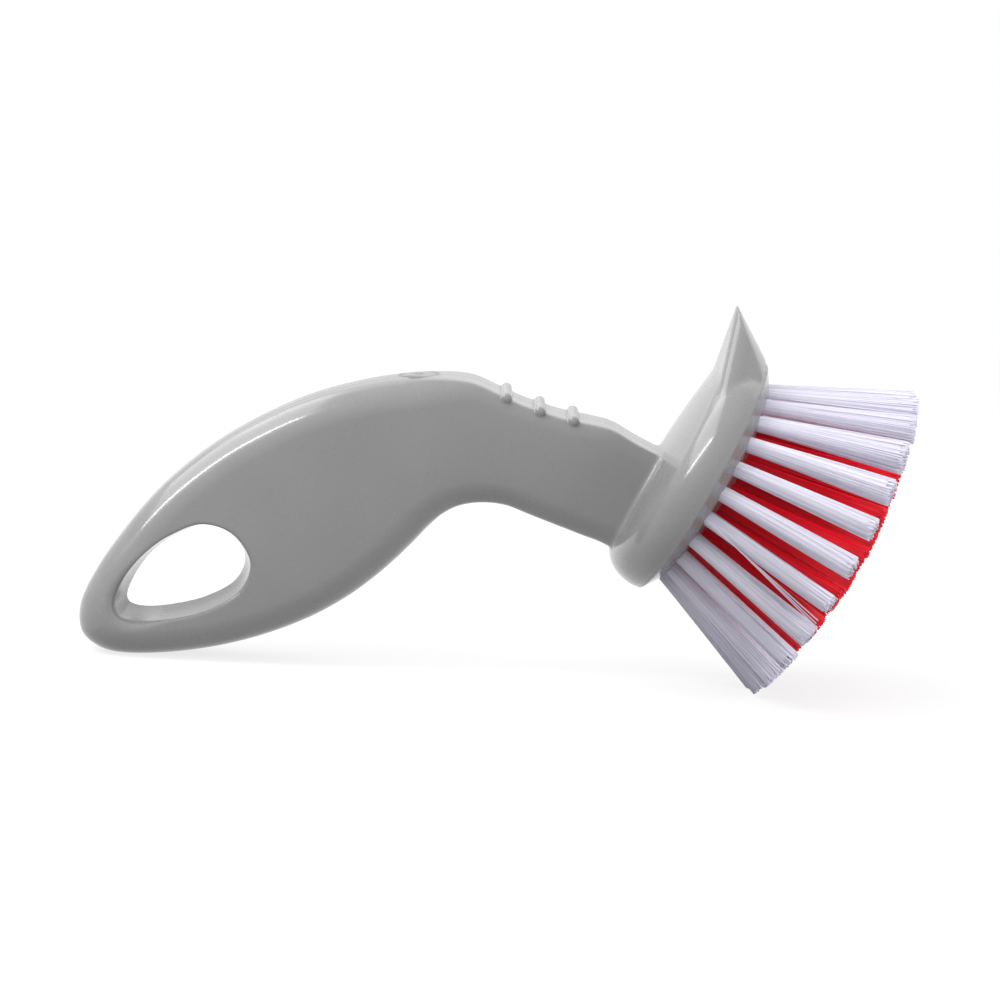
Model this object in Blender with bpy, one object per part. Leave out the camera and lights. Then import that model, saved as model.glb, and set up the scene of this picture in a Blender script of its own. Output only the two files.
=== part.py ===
# Round-headed washing-up brush: one moulding with an arched palm handle, a ribbed
# thumb rest and a pointed scraper, and a bed of drilled holes that holds the bristle tufts.
# X runs from the handle to the bristles, Y across the brush, Z up. Metres.

import bmesh
import bpy
import numpy as np
from mathutils import Matrix, Vector

MM = 0.001

# Driving dimensions of the moulding
HANDLE_REACH = 135.6 * MM  # end of the handle to the middle of the head
HANDLE_HEIGHT = 61.4 * MM  # heel of the handle to the top of its arch
HANDLE_THICKNESS = 20.0 * MM
HANDLE_ROUND = 5.6 * MM  # radius along the handle's edges
NECK_THICKNESS = 18.2 * MM
NECK_EDGE_ROUND = 0.9 * MM  # the thumb rest's edges are crisp
NECK_UNDER_ROUND = 2.6 * MM
NECK_HEIGHT = 23.6 * MM  # where the neck meets the head
NECK_FOOT_DROP = 1.2 * MM  # its underside meets the rim this far below the back's edge
HEAD_RISE = 39.9 * MM  # heel of the handle to the middle of the head
HEAD_TILT = np.radians(29.9)  # how far the bristles point below the level

# The head, a thick round disc turned about its own axis
HEAD_RADIUS = 28.5 * MM
BACK_RADIUS = 22.0 * MM  # where the domed back turns into the rim
BACK_DEPTH = 7.7 * MM  # from the widest part of the rim to the back's edge
BACK_CROWN = 1.5 * MM
BACK_TAPER = 0.6 * MM  # the back lies this much nearer the rim by the scraper
SHOULDER_RADIUS = 28.2 * MM  # corner that the front of the rim is rounded towards
SHOULDER_HEIGHT = 1.0 * MM
BED_EDGE_RADIUS = 24.8 * MM
BED_CROWN = 8.2 * MM  # from the widest part of the rim to the top of the bed
BED_DOME_RADIUS = 61.0 * MM

# The scraper, a wedge that stands on the head's upper rim
SCRAPER_REACH = 36.3 * MM  # its edge, from the head's axis
SCRAPER_CROWN = 1.1 * MM  # its front swells this much in the middle
SCRAPER_ROUND = 1.5 * MM

# Three grip ribs across the thumb rest
RIB_COUNT = 3
RIB_RADIUS = 1.2 * MM
RIB_LENGTH = 17.2 * MM
RIB_FIRST = 94.1 * MM  # end of the handle to the first rib
RIB_PITCH = 7.3 * MM
RIB_SINK = 0.05 * MM  # its middle line lies this far under the thumb rest

# The egg-shaped hole to hang the brush by, drafted from both sides
HOLE_WIDTH = 29.7 * MM
HOLE_HEIGHT = 22.0 * MM
HOLE_END_GAP = 8.6 * MM  # end of the handle to the hole
HOLE_HEEL_GAP = 8.1 * MM  # heel to the hole
HOLE_DRAFT = 1.7 * MM  # how far the wall comes in by the middle of the handle
HOLE_EDGE_ROUND = 1.0 * MM

# Bristle tufts: strands that fan out of a root seated in its own hole
WHITE_LENGTH = 33.7 * MM
RED_LENGTH = 32.9 * MM
TUFT_ROOT_RADIUS = 1.5 * MM
TUFT_TIP_RADIUS = 3.2 * MM
TUFT_SEAT_DEPTH = 7.0 * MM
TUFT_FOLD_DEPTH = 2.0 * MM  # the last of the root narrows to the fold
TUFT_FOLD_WIDTH = 1.0 * MM
TUFT_PROUD = 0.15 * MM
TUFT_CLEARANCE = 0.3 * MM
STRAND_SPACING = 0.12 * MM  # each strand's foot keeps this far inside its cell
STRAND_TRIM = 0.4 * MM  # how unevenly the strands are cut
FAN_DROP = 2.6 * MM  # the fan is bent up: its centre lies this far below the head's axis
OUTER_RING_RADIUS = 22.4 * MM
RING_GAP = 6.9 * MM  # from each ring of tufts to the next
OUTER_COUNT = 23
MIDDLE_COUNT = 15
INNER_COUNT = 8

FLOOR_TRIM = 0.5 * MM  # the lowest strands end flat where the brush lies on them
CUT_OVERRUN = 1.0 * MM
ROUND_STEPS = 4  # facets along each rounded edge
HEAD_STEPS = 48
RIB_STEPS = 8
DRILL_STEPS = 12
SMOOTH_ANGLE = np.radians(35)
BACK_RING_SHARES = (0.08, 0.35, 0.6, 0.82)  # of BACK_RADIUS
BED_RING_SHARES = (0.74, 0.48, 0.24, 0.05)  # of BED_EDGE_RADIUS
RIB_END_ANGLES = np.radians((-70, -35, 0, 0, 35, 70))
HOLE_EDGE_ANGLES = np.radians((90, 60, 30, 0))

# Pairs of points on the handle's upper and lower outline, from the end to the neck,
# as shares of HANDLE_REACH and HANDLE_HEIGHT: upper x, upper z, lower x, lower z. The last
# two say how much of the handle's broad rounding the upper and the lower edges have there.
OUTLINE_SHARES = (
    (0.000, 0.141, 0.001, 0.105, 1.0, 1.0),
    (0.001, 0.165, 0.003, 0.090, 1.0, 1.0),
    (0.005, 0.200, 0.010, 0.068, 1.0, 1.0),
    (0.013, 0.241, 0.022, 0.040, 1.0, 1.0),
    (0.026, 0.292, 0.039, 0.017, 1.0, 1.0),
    (0.043, 0.352, 0.062, 0.003, 1.0, 1.0),
    (0.070, 0.432, 0.101, -0.002, 1.0, 1.0),
    (0.110, 0.540, 0.161, 0.004, 1.0, 1.0),
    (0.162, 0.652, 0.232, 0.026, 1.0, 1.0),
    (0.238, 0.777, 0.306, 0.068, 1.0, 1.0),
    (0.323, 0.878, 0.379, 0.131, 1.0, 1.0),
    (0.393, 0.939, 0.441, 0.209, 1.0, 1.0),
    (0.464, 0.979, 0.494, 0.299, 1.0, 1.0),
    (0.522, 0.999, 0.537, 0.388, 1.0, 1.0),
    (0.582, 1.003, 0.568, 0.463, 0.7, 0.8),
    (0.638, 0.989, 0.593, 0.511, 0.2, 0.5),
    (0.682, 0.947, 0.619, 0.540, 0.0, 0.2),
    (0.717, 0.911, 0.653, 0.551, 0.0, 0.0),
    (0.756, 0.880, 0.692, 0.541, 0.0, 0.0),
    (0.794, 0.855, 0.732, 0.506, 0.0, 0.0),
    (0.829, 0.840, 0.776, 0.467, 0.0, 0.0),
    (0.866, 0.817, 0.815, 0.433, 0.0, 0.0),
    (0.910, 0.760, 0.852, 0.400, 0.0, 0.0),
)
OUTLINE_STEPS = 2
FULLEST_ROUND_SHARE = 0.94  # of a section's half height or half width

# Outline of the hanging hole on the handle's side, as shares of its width and height
HOLE_OUTLINE_SHARES = (
    (0.003, 0.205),
    (0.030, 0.330),
    (0.116, 0.540),
    (0.226, 0.712),
    (0.396, 0.874),
    (0.636, 0.992),
    (0.866, 0.890),
    (0.996, 0.603),
    (0.915, 0.305),
    (0.677, 0.114),
    (0.399, 0.020),
    (0.110, 0.020),
)
HOLE_STEPS = 3

# Sections of the scraper from its root inside the head to its edge, as shares of SCRAPER_REACH.
# Each row gives its back and then its front: how far up the disc, how far out of the bed and
# half the width. It flares where it meets the rim.
SCRAPER_SHARES = (
    (0.474, -0.165, 0.455, 0.579, 0.011, 0.427),
    (0.553, -0.183, 0.452, 0.653, 0.033, 0.421),
    (0.595, -0.193, 0.424, 0.697, 0.021, 0.322),
    (0.679, -0.213, 0.369, 0.780, 0.000, 0.228),
    (1.000, -0.2865, 0.143, 1.003, -0.279, 0.143),
)
SCRAPER_CROWN_SHARES = (1.0, 0.5, 0.0, -0.5, -1.0)  # of the front's half width

MOULDING_GREY = (0.33, 0.33, 0.33, 1.0)
BRISTLE_WHITE = (0.78, 0.79, 0.86, 1.0)
BRISTLE_RED = (0.58, 0.01, 0.025, 1.0)


def clear_scene():
    for old in list(bpy.data.objects):
        bpy.data.objects.remove(old, do_unlink=True)


def make_material(name, colour, roughness):
    material = bpy.data.materials.new(name)
    material.use_nodes = True
    shader = material.node_tree.nodes["Principled BSDF"]
    shader.inputs["Base Color"].default_value = colour
    shader.inputs["Roughness"].default_value = roughness
    shader.inputs["Metallic"].default_value = 0.0
    material.diffuse_color = colour
    return material


def add_object(name, mesh, parent, material=None):
    thing = bpy.data.objects.new(name, mesh)
    bpy.context.collection.objects.link(thing)
    thing.parent = parent
    if material and not mesh.materials:
        mesh.materials.append(material)
    return thing


def add_frame(name, parent, matrix):
    frame = bpy.data.objects.new(name, None)
    bpy.context.collection.objects.link(frame)
    frame.parent = parent
    frame.matrix_local = matrix
    return frame


def add_helper(name, mesh, parent):
    """A solid that only joins or cuts the moulding."""
    helper = add_object(name, mesh, parent)
    helper.hide_render = True
    helper.display_type = "WIRE"
    return helper


def smooth(points, steps, closed=False):
    """Catmull-Rom curve through rows of numbers, with the given steps between rows."""
    rows = np.array(points, float)
    if closed:
        padded = np.vstack([rows[-1:], rows, rows[:2]])
    else:
        padded = np.vstack([2 * rows[0] - rows[1], rows, 2 * rows[-1] - rows[-2]])
    curve = []
    for a, b, c, d in zip(padded, padded[1:], padded[2:], padded[3:]):
        for share in np.arange(steps) / steps:
            pull = (c - a) * share
            bend = (2 * a - 5 * b + 4 * c - d) * share**2
            turn = (3 * b - a - 3 * c + d) * share**3
            curve.append(b + (pull + bend + turn) / 2)
    if not closed:
        curve.append(rows[-1])
    return np.array(curve)


def skin(name, rings):
    """A closed solid over rings of equally many points, capped at both ends."""
    form = bmesh.new()
    loops = [[form.verts.new(point) for point in ring] for ring in rings]
    for lower, upper in zip(loops, loops[1:]):
        for i in range(len(lower)):
            j = (i + 1) % len(lower)
            form.faces.new((lower[i], lower[j], upper[j], upper[i]))
    form.faces.new(loops[0][::-1])
    form.faces.new(loops[-1])
    return finish_mesh(name, form)


def finish_mesh(name, form):
    bmesh.ops.recalc_face_normals(form, faces=form.faces[:])
    mesh = bpy.data.meshes.new(name)
    form.to_mesh(mesh)
    form.free()
    mesh.shade_smooth()
    mesh.set_sharp_from_angle(angle=SMOOTH_ANGLE)
    return mesh


def circle(radius, steps):
    """Corners of a regular polygon, none of them on the X axis."""
    angles = (np.arange(steps) + 0.5) * 2 * np.pi / steps
    return np.stack([radius * np.cos(angles), radius * np.sin(angles)], axis=-1)


def head_matrix():
    """The head's frame: X up along the disc, Z out of the bristle bed."""
    up = Vector((np.sin(HEAD_TILT), 0, np.cos(HEAD_TILT)))
    out = Vector((np.cos(HEAD_TILT), 0, -np.sin(HEAD_TILT)))
    across = out.cross(up)
    turn = Matrix((up, across, out)).transposed().to_4x4()
    return Matrix.Translation((HANDLE_REACH, 0, HEAD_RISE)) @ turn


def outline_rows():
    """The handle's outline pairs in metres, carried on into the middle of the head."""
    sizes = (HANDLE_REACH, HANDLE_HEIGHT, HANDLE_REACH, HANDLE_HEIGHT, 1, 1)
    rows = [np.multiply(row, sizes) for row in OUTLINE_SHARES]
    matrix = head_matrix()
    foot = -BACK_RADIUS - NECK_FOOT_DROP
    lower = matrix @ Vector((foot, 0, 0))
    upper = matrix @ Vector((foot + NECK_HEIGHT, 0, 0))
    rows.append(np.array((upper.x, upper.z, lower.x, lower.z, 0, 0)))
    return smooth(rows, OUTLINE_STEPS)


def rounded_section(upper, lower, half_width, upper_round, lower_round):
    """A rectangle with rounded corners between two outline points."""
    middle = (upper + lower) / 2
    rise = (upper - lower) / 2
    half_height = np.linalg.norm(rise)
    along = rise / half_height
    points = []
    quarters = ((1, 1), (-1, 1), (-1, -1), (1, -1))
    for quarter, (side, end) in enumerate(quarters):
        wanted = upper_round if end > 0 else lower_round
        radius = min(wanted, FULLEST_ROUND_SHARE * min(half_height, half_width))
        for step in range(ROUND_STEPS + 1):
            angle = (quarter + step / ROUND_STEPS) * np.pi / 2
            across = side * (half_width - radius) + radius * np.cos(angle)
            height = end * (half_height - radius) + radius * np.sin(angle)
            spot = middle + along * height
            points.append((spot[0], across, spot[1]))
    return points


def handle_solid():
    """The arched handle and its neck, skinned over rounded sections from end to head."""
    rings = []
    top_gain = HANDLE_ROUND - NECK_EDGE_ROUND
    low_gain = HANDLE_ROUND - NECK_UNDER_ROUND
    for top_x, top_z, low_x, low_z, top_share, low_share in outline_rows():
        upper = np.array((top_x, top_z))
        lower = np.array((low_x, low_z))
        share = np.clip((top_share + low_share) / 2, 0, 1)
        half_width = (NECK_THICKNESS + (HANDLE_THICKNESS - NECK_THICKNESS) * share) / 2
        # The end is rounded over in plan as well
        inset = HANDLE_ROUND - min((top_x + low_x) / 2, HANDLE_ROUND)
        half_width -= HANDLE_ROUND - np.sqrt(HANDLE_ROUND**2 - inset**2)
        upper_round = NECK_EDGE_ROUND + top_gain * np.clip(top_share, 0, 1)
        lower_round = NECK_UNDER_ROUND + low_gain * np.clip(low_share, 0, 1)
        rings.append(rounded_section(upper, lower, half_width, upper_round, lower_round))
    return skin("handle_and_head", rings)


def bed_height(radius):
    """Height of the domed bristle bed at this distance from the head's axis."""
    return BED_CROWN - BED_DOME_RADIUS + np.sqrt(BED_DOME_RADIUS**2 - radius**2)


def head_profile():
    """Radius and height of the disc, from the middle of its back to the middle of its bed."""
    profile = []
    for share in BACK_RING_SHARES:
        radius = BACK_RADIUS * share
        profile.append((radius, -BACK_DEPTH - BACK_CROWN * (1 - share**2)))
    for step in range(2 * ROUND_STEPS + 1):
        angle = step * np.pi / (4 * ROUND_STEPS)
        bulge = (HEAD_RADIUS - BACK_RADIUS) * np.sin(angle)
        profile.append((BACK_RADIUS + bulge, -BACK_DEPTH * np.cos(angle)))
    widest = np.array((HEAD_RADIUS, 0))
    shoulder = np.array((SHOULDER_RADIUS, SHOULDER_HEIGHT))
    bed_edge = np.array((BED_EDGE_RADIUS, bed_height(BED_EDGE_RADIUS)))
    for share in np.arange(1, ROUND_STEPS + 1) / ROUND_STEPS:
        start = widest + (shoulder - widest) * share
        end = shoulder + (bed_edge - shoulder) * share
        profile.append(tuple(start + (end - start) * share))
    for share in BED_RING_SHARES:
        radius = BED_EDGE_RADIUS * share
        profile.append((radius, bed_height(radius)))
    return profile


def head_solid():
    """The disc. Its back leans, so that the head is thinner towards the scraper."""
    rings = []
    for radius, height in head_profile():
        lean = BACK_TAPER / BACK_RADIUS * max(-height / BACK_DEPTH, 0)
        rings.append([(x, y, height + lean * x) for x, y in circle(radius, HEAD_STEPS)])
    return skin("head_disc", rings)


def scraper_solid():
    """The wedge: a flat back, a crowned front and two flanks that draw in to its edge."""
    rings = []
    for row in SCRAPER_SHARES:
        back, front = np.reshape(row, (2, 3)) * SCRAPER_REACH
        depth = front - back
        thickness = np.hypot(depth[0], depth[1])
        corner = min(SCRAPER_ROUND, thickness / 3)
        along = depth / thickness
        # From the far back corner round the front to the near back corner
        points = []
        for step in (0, 1, 2):
            angle = step * np.pi / 4
            spot = back + along * corner * (1 - np.cos(angle))
            points.append((spot[0], spot[1], spot[2] - corner * (1 - np.sin(angle))))
        crown = min(SCRAPER_CROWN, thickness / 3)
        for share in SCRAPER_CROWN_SHARES:
            swell = crown * (1 - share**2)
            swollen = front + along * swell
            points.append((swollen[0], swollen[1], share * front[2]))
        points += [(u, v, -w) for u, v, w in points[2::-1]]
        rings.append([(u, w, v) for u, v, w in points])
    return skin("scraper", rings)


def rib_solid(middle_x, middle_z):
    """A bar across the thumb rest, with domed ends."""
    reach = RIB_LENGTH / 2 - RIB_RADIUS
    rings = []
    for i, angle in enumerate(RIB_END_ANGLES):
        ring = circle(RIB_RADIUS * np.cos(angle), RIB_STEPS)
        end = -reach if i < len(RIB_END_ANGLES) / 2 else reach
        y = end + RIB_RADIUS * np.sin(angle)
        rings.append([(middle_x + x, y, middle_z + z) for x, z in ring])
    return skin("thumb_rib", rings)


def hole_solid():
    """The hanging hole's cutter: widest outside, narrowest at the middle of the handle."""
    outline = smooth(HOLE_OUTLINE_SHARES, HOLE_STEPS, closed=True) * (HOLE_WIDTH, HOLE_HEIGHT)
    outline += (HOLE_END_GAP, HOLE_HEEL_GAP)
    ahead = np.roll(outline, -1, axis=0) - np.roll(outline, 1, axis=0)
    outward = np.stack([-ahead[:, 1], ahead[:, 0]], axis=-1)
    outward /= np.linalg.norm(outward, axis=1, keepdims=True)
    half = HANDLE_THICKNESS / 2
    mouth = [(half + CUT_OVERRUN, HOLE_EDGE_ROUND)]
    for angle in HOLE_EDGE_ANGLES:
        depth = half - HOLE_EDGE_ROUND * (1 - np.sin(angle))
        mouth.append((depth, HOLE_EDGE_ROUND * (1 - np.cos(angle))))
    levels = [(-depth, spread) for depth, spread in mouth]
    levels += [(0, -HOLE_DRAFT)]
    levels += [(depth, spread) for depth, spread in mouth[::-1]]
    rings = []
    for y, spread in levels:
        loop = outline + outward * spread
        rings.append([(x, y, z) for x, z in loop])
    return skin("hanging_hole_cutter", rings)


def tuft_spots():
    """Name and frame of every tuft, in the head's frame."""
    rings = (
        ("white_tuft", OUTER_COUNT, OUTER_RING_RADIUS),
        ("red_middle_tuft", MIDDLE_COUNT, OUTER_RING_RADIUS - RING_GAP),
        ("red_inner_tuft", INNER_COUNT, OUTER_RING_RADIUS - 2 * RING_GAP),
        ("red_centre_tuft", 1, 0.0),
    )
    fan_centre = Vector((-FAN_DROP, 0, BED_CROWN - BED_DOME_RADIUS))
    spots = []
    for name, count, radius in rings:
        for i in range(count):
            angle = 2 * np.pi * (i + 0.5) / count
            radial = Vector((np.cos(angle), np.sin(angle), 0))
            foot = radial * radius + Vector((0, 0, bed_height(radius)))
            along = (foot - fan_centre).normalized()
            aside = along.cross(radial).normalized()
            turn = Matrix((aside.cross(along), aside, along)).transposed().to_4x4()
            label = f"{name}_{i + 1:02d}" if count > 1 else name
            spots.append((label, Matrix.Translation(foot) @ turn))
    return spots


def drill_solid(spots):
    """One straight hole for each tuft, all in one cutter."""
    form = bmesh.new()
    radius = TUFT_ROOT_RADIUS + TUFT_CLEARANCE
    bottom = -TUFT_SEAT_DEPTH - TUFT_CLEARANCE
    for _, matrix in spots:
        loops = []
        for z in (bottom, CUT_OVERRUN):
            ring = circle(radius, DRILL_STEPS)
            loops.append([form.verts.new(matrix @ Vector((x, y, z))) for x, y in ring])
        low, high = loops
        for i in range(DRILL_STEPS):
            j = (i + 1) % DRILL_STEPS
            form.faces.new((low[i], low[j], high[j], high[i]))
        form.faces.new(low[::-1])
        form.faces.new(high)
    return finish_mesh("tuft_drills", form)


def lattice_points():
    """A hexagon of triangular cells two deep, keyed by the two lattice steps."""
    step = TUFT_ROOT_RADIUS / 2
    points = {}
    for i in range(-2, 3):
        for j in range(-2, 3):
            if abs(i + j) <= 2:
                points[i, j] = (step * (i + j / 2), step * j * np.sqrt(3) / 2)
    return points


def tuft_solid(name, length):
    """A folded root and twelve three-sided strands that fan out of its top."""
    form = bmesh.new()
    verts = {key: form.verts.new((x, y, TUFT_PROUD)) for key, (x, y) in lattice_points().items()}
    strand_feet = []
    for i, j in verts:
        upright = [(i, j), (i + 1, j), (i, j + 1)]
        if all(key in verts for key in upright):
            strand_feet.append(form.faces.new([verts[key] for key in upright]))
        inverted = [(i, j), (i, j + 1), (i - 1, j + 1)]
        if all(key in verts for key in inverted):
            form.faces.new([verts[key] for key in inverted])
    # The root is a six-sided plug that narrows to the fold
    corners = [(2, 0), (0, 2), (-2, 2), (-2, 0), (0, -2), (2, -2)]
    middles = [(1, 1), (-1, 2), (-2, 1), (-1, -1), (1, -2), (2, -1)]
    top = [verts[key].co for key in corners]
    neck = [form.verts.new((p.x, p.y, TUFT_FOLD_DEPTH - TUFT_SEAT_DEPTH)) for p in top]
    fold_share = TUFT_FOLD_WIDTH / (2 * TUFT_ROOT_RADIUS)
    fold = [form.verts.new((p.x, p.y * fold_share, -TUFT_SEAT_DEPTH)) for p in top]
    for i in range(6):
        j = (i + 1) % 6
        rim = (verts[corners[j]], verts[middles[i]], verts[corners[i]])
        form.faces.new((*rim, neck[i], neck[j]))
        form.faces.new((neck[j], neck[i], fold[i], fold[j]))
    form.faces.new(fold[::-1])
    # Strands, each from an inset cell to a tip farther out and a little smaller
    bmesh.ops.inset_individual(form, faces=strand_feet, thickness=STRAND_SPACING)
    tips = bmesh.ops.extrude_discrete_faces(form, faces=strand_feet)["faces"]
    middles = [tip.calc_center_median().to_2d() for tip in tips]
    spread = TUFT_TIP_RADIUS / max(middle.length for middle in middles)
    for i, (tip, middle) in enumerate(zip(tips, middles)):
        shift = (middle * (spread - 1)).to_3d()
        shift.z = length + STRAND_TRIM * np.sin(5 * i + 1)
        bmesh.ops.translate(form, verts=tip.verts, vec=shift)
    return finish_mesh(name, form)


def add_moulding(brush, head, spots):
    grey = make_material("grey_plastic", MOULDING_GREY, 0.22)
    moulding = add_object("handle_and_head", handle_solid(), brush, grey)
    joined = [
        add_helper("head_disc", head_solid(), head),
        add_helper("scraper", scraper_solid(), head),
    ]
    upper_line = outline_rows()[:, :2]
    for i in range(RIB_COUNT):
        x = RIB_FIRST + i * RIB_PITCH
        z = np.interp(x, upper_line[:, 0], upper_line[:, 1]) - RIB_SINK
        joined.append(add_helper(f"thumb_rib_{i + 1}", rib_solid(x, z), brush))
    cut = [
        add_helper("hanging_hole_cutter", hole_solid(), brush),
        add_helper("tuft_drills", drill_solid(spots), head),
    ]
    for helper in joined + cut:
        modifier = moulding.modifiers.new(helper.name, "BOOLEAN")
        modifier.operation = "UNION" if helper in joined else "DIFFERENCE"
        modifier.object = helper
    return moulding


def add_tufts(head, spots):
    white = tuft_solid("white_tuft", WHITE_LENGTH)
    red = tuft_solid("red_tuft", RED_LENGTH)
    white.materials.append(make_material("white_bristle", BRISTLE_WHITE, 0.45))
    red.materials.append(make_material("red_bristle", BRISTLE_RED, 0.4))
    tufts = []
    for name, matrix in spots:
        tuft = add_object(name, white if name.startswith("white") else red, head)
        tuft.matrix_local = matrix
        tufts.append(tuft)
    return tufts


def side_points(things):
    """World points of the finished solids, seen from the side: X and Z."""
    bpy.context.view_layer.update()
    graph = bpy.context.evaluated_depsgraph_get()
    points = []
    for thing in things:
        solid = thing.evaluated_get(graph)
        mesh = solid.to_mesh()
        points += [solid.matrix_world @ vertex.co for vertex in mesh.vertices]
        solid.to_mesh_clear()
    return np.array([(p.x, p.z) for p in points])


def tangent_from(point, cloud):
    """The cloud's point that lies lowest as seen from this point, looking along -X."""
    behind = cloud[cloud[:, 0] < point[0]]
    slopes = (behind[:, 1] - point[1]) / (point[0] - behind[:, 0])
    return behind[np.argmin(slopes)]


def floor_line(moulding, tufts):
    """Two points of the plane the brush lies on: under its heel and under its tips."""
    body = side_points([moulding])
    tips = side_points(tufts)
    heel = body[np.argmin(body[:, 1])]
    for _ in range(3):
        slopes = (tips[:, 1] - heel[1]) / (tips[:, 0] - heel[0])
        toe = tips[np.argmin(np.where(tips[:, 0] > HANDLE_REACH, slopes, np.inf))]
        heel = tangent_from(toe, body)
    toe = toe + (0, FLOOR_TRIM)
    return tangent_from(toe, body), toe


def trim_tufts(tufts, heel, toe):
    """Cuts flat what would reach below the plane through the two points."""
    run = toe - heel
    down = Vector((run[1], 0, -run[0])).normalized()
    spot = Vector((heel[0], 0, heel[1]))
    for tuft in tufts:
        corners = [tuft.matrix_world @ vertex.co for vertex in tuft.data.vertices]
        if max((corner - spot).dot(down) for corner in corners) <= 0:
            continue
        tuft.data = tuft.data.copy()
        local = tuft.matrix_world.inverted()
        form = bmesh.new()
        form.from_mesh(tuft.data)
        bmesh.ops.bisect_plane(
            form,
            geom=form.verts[:] + form.edges[:] + form.faces[:],
            plane_co=local @ spot,
            plane_no=(local.to_3x3() @ down).normalized(),
            clear_outer=True,
        )
        open_edges = [edge for edge in form.edges if edge.is_boundary]
        bmesh.ops.holes_fill(form, edges=open_edges)
        form.to_mesh(tuft.data)
        form.free()


def lay_down(brush, moulding, tufts, heel, toe):
    """Turns the brush so that heel and tips lie level, and stands it over the origin."""
    run = toe - heel
    brush.rotation_euler = (0, np.arctan2(run[1], run[0]), 0)
    outline = side_points([moulding, *tufts])
    middle = (outline[:, 0].min() + outline[:, 0].max()) / 2
    brush.location = (-middle, 0, -outline[:, 1].min())


def main():
    clear_scene()
    brush = add_frame("brush", None, Matrix.Identity(4))
    head = add_frame("head_frame", brush, head_matrix())
    spots = tuft_spots()
    moulding = add_moulding(brush, head, spots)
    tufts = add_tufts(head, spots)
    heel, toe = floor_line(moulding, tufts)
    trim_tufts(tufts, heel, toe)
    lay_down(brush, moulding, tufts, heel, toe)


main()
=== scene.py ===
import bpy
import numpy as np
from mathutils import Matrix, Quaternion, Vector


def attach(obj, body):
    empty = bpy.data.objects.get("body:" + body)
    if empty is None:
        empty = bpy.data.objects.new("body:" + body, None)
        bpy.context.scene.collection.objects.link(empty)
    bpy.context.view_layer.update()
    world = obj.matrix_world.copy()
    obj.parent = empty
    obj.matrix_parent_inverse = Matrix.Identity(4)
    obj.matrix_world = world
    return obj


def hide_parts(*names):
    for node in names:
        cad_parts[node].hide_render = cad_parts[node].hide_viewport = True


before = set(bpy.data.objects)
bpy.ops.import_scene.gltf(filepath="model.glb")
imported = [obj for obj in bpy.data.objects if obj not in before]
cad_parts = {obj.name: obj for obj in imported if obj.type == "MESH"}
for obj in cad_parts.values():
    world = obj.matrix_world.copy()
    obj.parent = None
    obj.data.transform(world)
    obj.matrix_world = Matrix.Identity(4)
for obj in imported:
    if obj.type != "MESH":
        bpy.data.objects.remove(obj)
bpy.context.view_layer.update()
mm = 0.001
print("frame loaded:", len(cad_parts), "nodes")

# Shapes are worked out in millimetres with the heel level and the end of the handle at x = 0,
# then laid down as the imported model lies: turned about the y axis and shifted.
layDown = {"turn": np.radians(-3.63926), "shift": np.array([-89.9797, 0.0, -0.6356])}


def turned(directions):
    # x' = x cos + z sin, z' = z cos - x sin
    cosTurn, sinTurn = np.cos(layDown["turn"]), np.sin(layDown["turn"])
    x = directions[..., 0] * cosTurn + directions[..., 2] * sinTurn
    z = directions[..., 2] * cosTurn - directions[..., 0] * sinTurn
    return np.stack([x, directions[..., 1], z], axis=-1)


def laid(points):
    # turned as a direction is, then shifted, and given in metres
    return (turned(points) + layDown["shift"]) * mm


def meshObject(name, points, corners, sides, normals=None, uv=None):
    # points in metres, corners as one flat list with the same number of sides to each face
    mesh = bpy.data.meshes.new(name)
    faceCount = len(corners) // sides
    mesh.vertices.add(len(points))
    mesh.vertices.foreach_set("co", points.astype(np.float32).ravel())
    mesh.loops.add(len(corners))
    mesh.loops.foreach_set("vertex_index", corners.astype(np.int32))
    mesh.polygons.add(faceCount)
    mesh.polygons.foreach_set("loop_start", np.arange(faceCount, dtype=np.int32) * sides)
    mesh.update(calc_edges=True)
    mesh.validate()
    mesh.shade_smooth()
    if uv is not None:
        layer = mesh.uv_layers.new(name="strand")
        layer.data.foreach_set("uv", uv[corners].astype(np.float32).ravel())
    if normals is not None:
        mesh.normals_split_custom_set_from_vertices(normals.astype(np.float32))
    thing = bpy.data.objects.new(name, mesh)
    bpy.context.scene.collection.objects.link(thing)
    return thing


# Curves and distances
def curveThrough(rows, steps, closed=False):
    # Catmull-Rom curve: each span is the cubic that passes its two ends with the slopes of their neighbours
    rows = np.array(rows, float)
    if closed:
        padded = np.vstack([rows[-1:], rows, rows[:2]])
    else:
        padded = np.vstack([2 * rows[0] - rows[1], rows, 2 * rows[-1] - rows[-2]])
    a, b, c, d = (padded[i:len(padded) - 3 + i][:, None] for i in range(4))
    share = (np.arange(steps) / steps)[None, :, None]
    square = (2 * a - 5 * b + 4 * c - d) * share**2
    curve = b + ((c - a) * share + square + (3 * b - a - 3 * c + d) * share**3) / 2
    curve = curve.reshape(-1, rows.shape[1])
    return curve if closed else np.vstack([curve, rows[-1:]])


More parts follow.
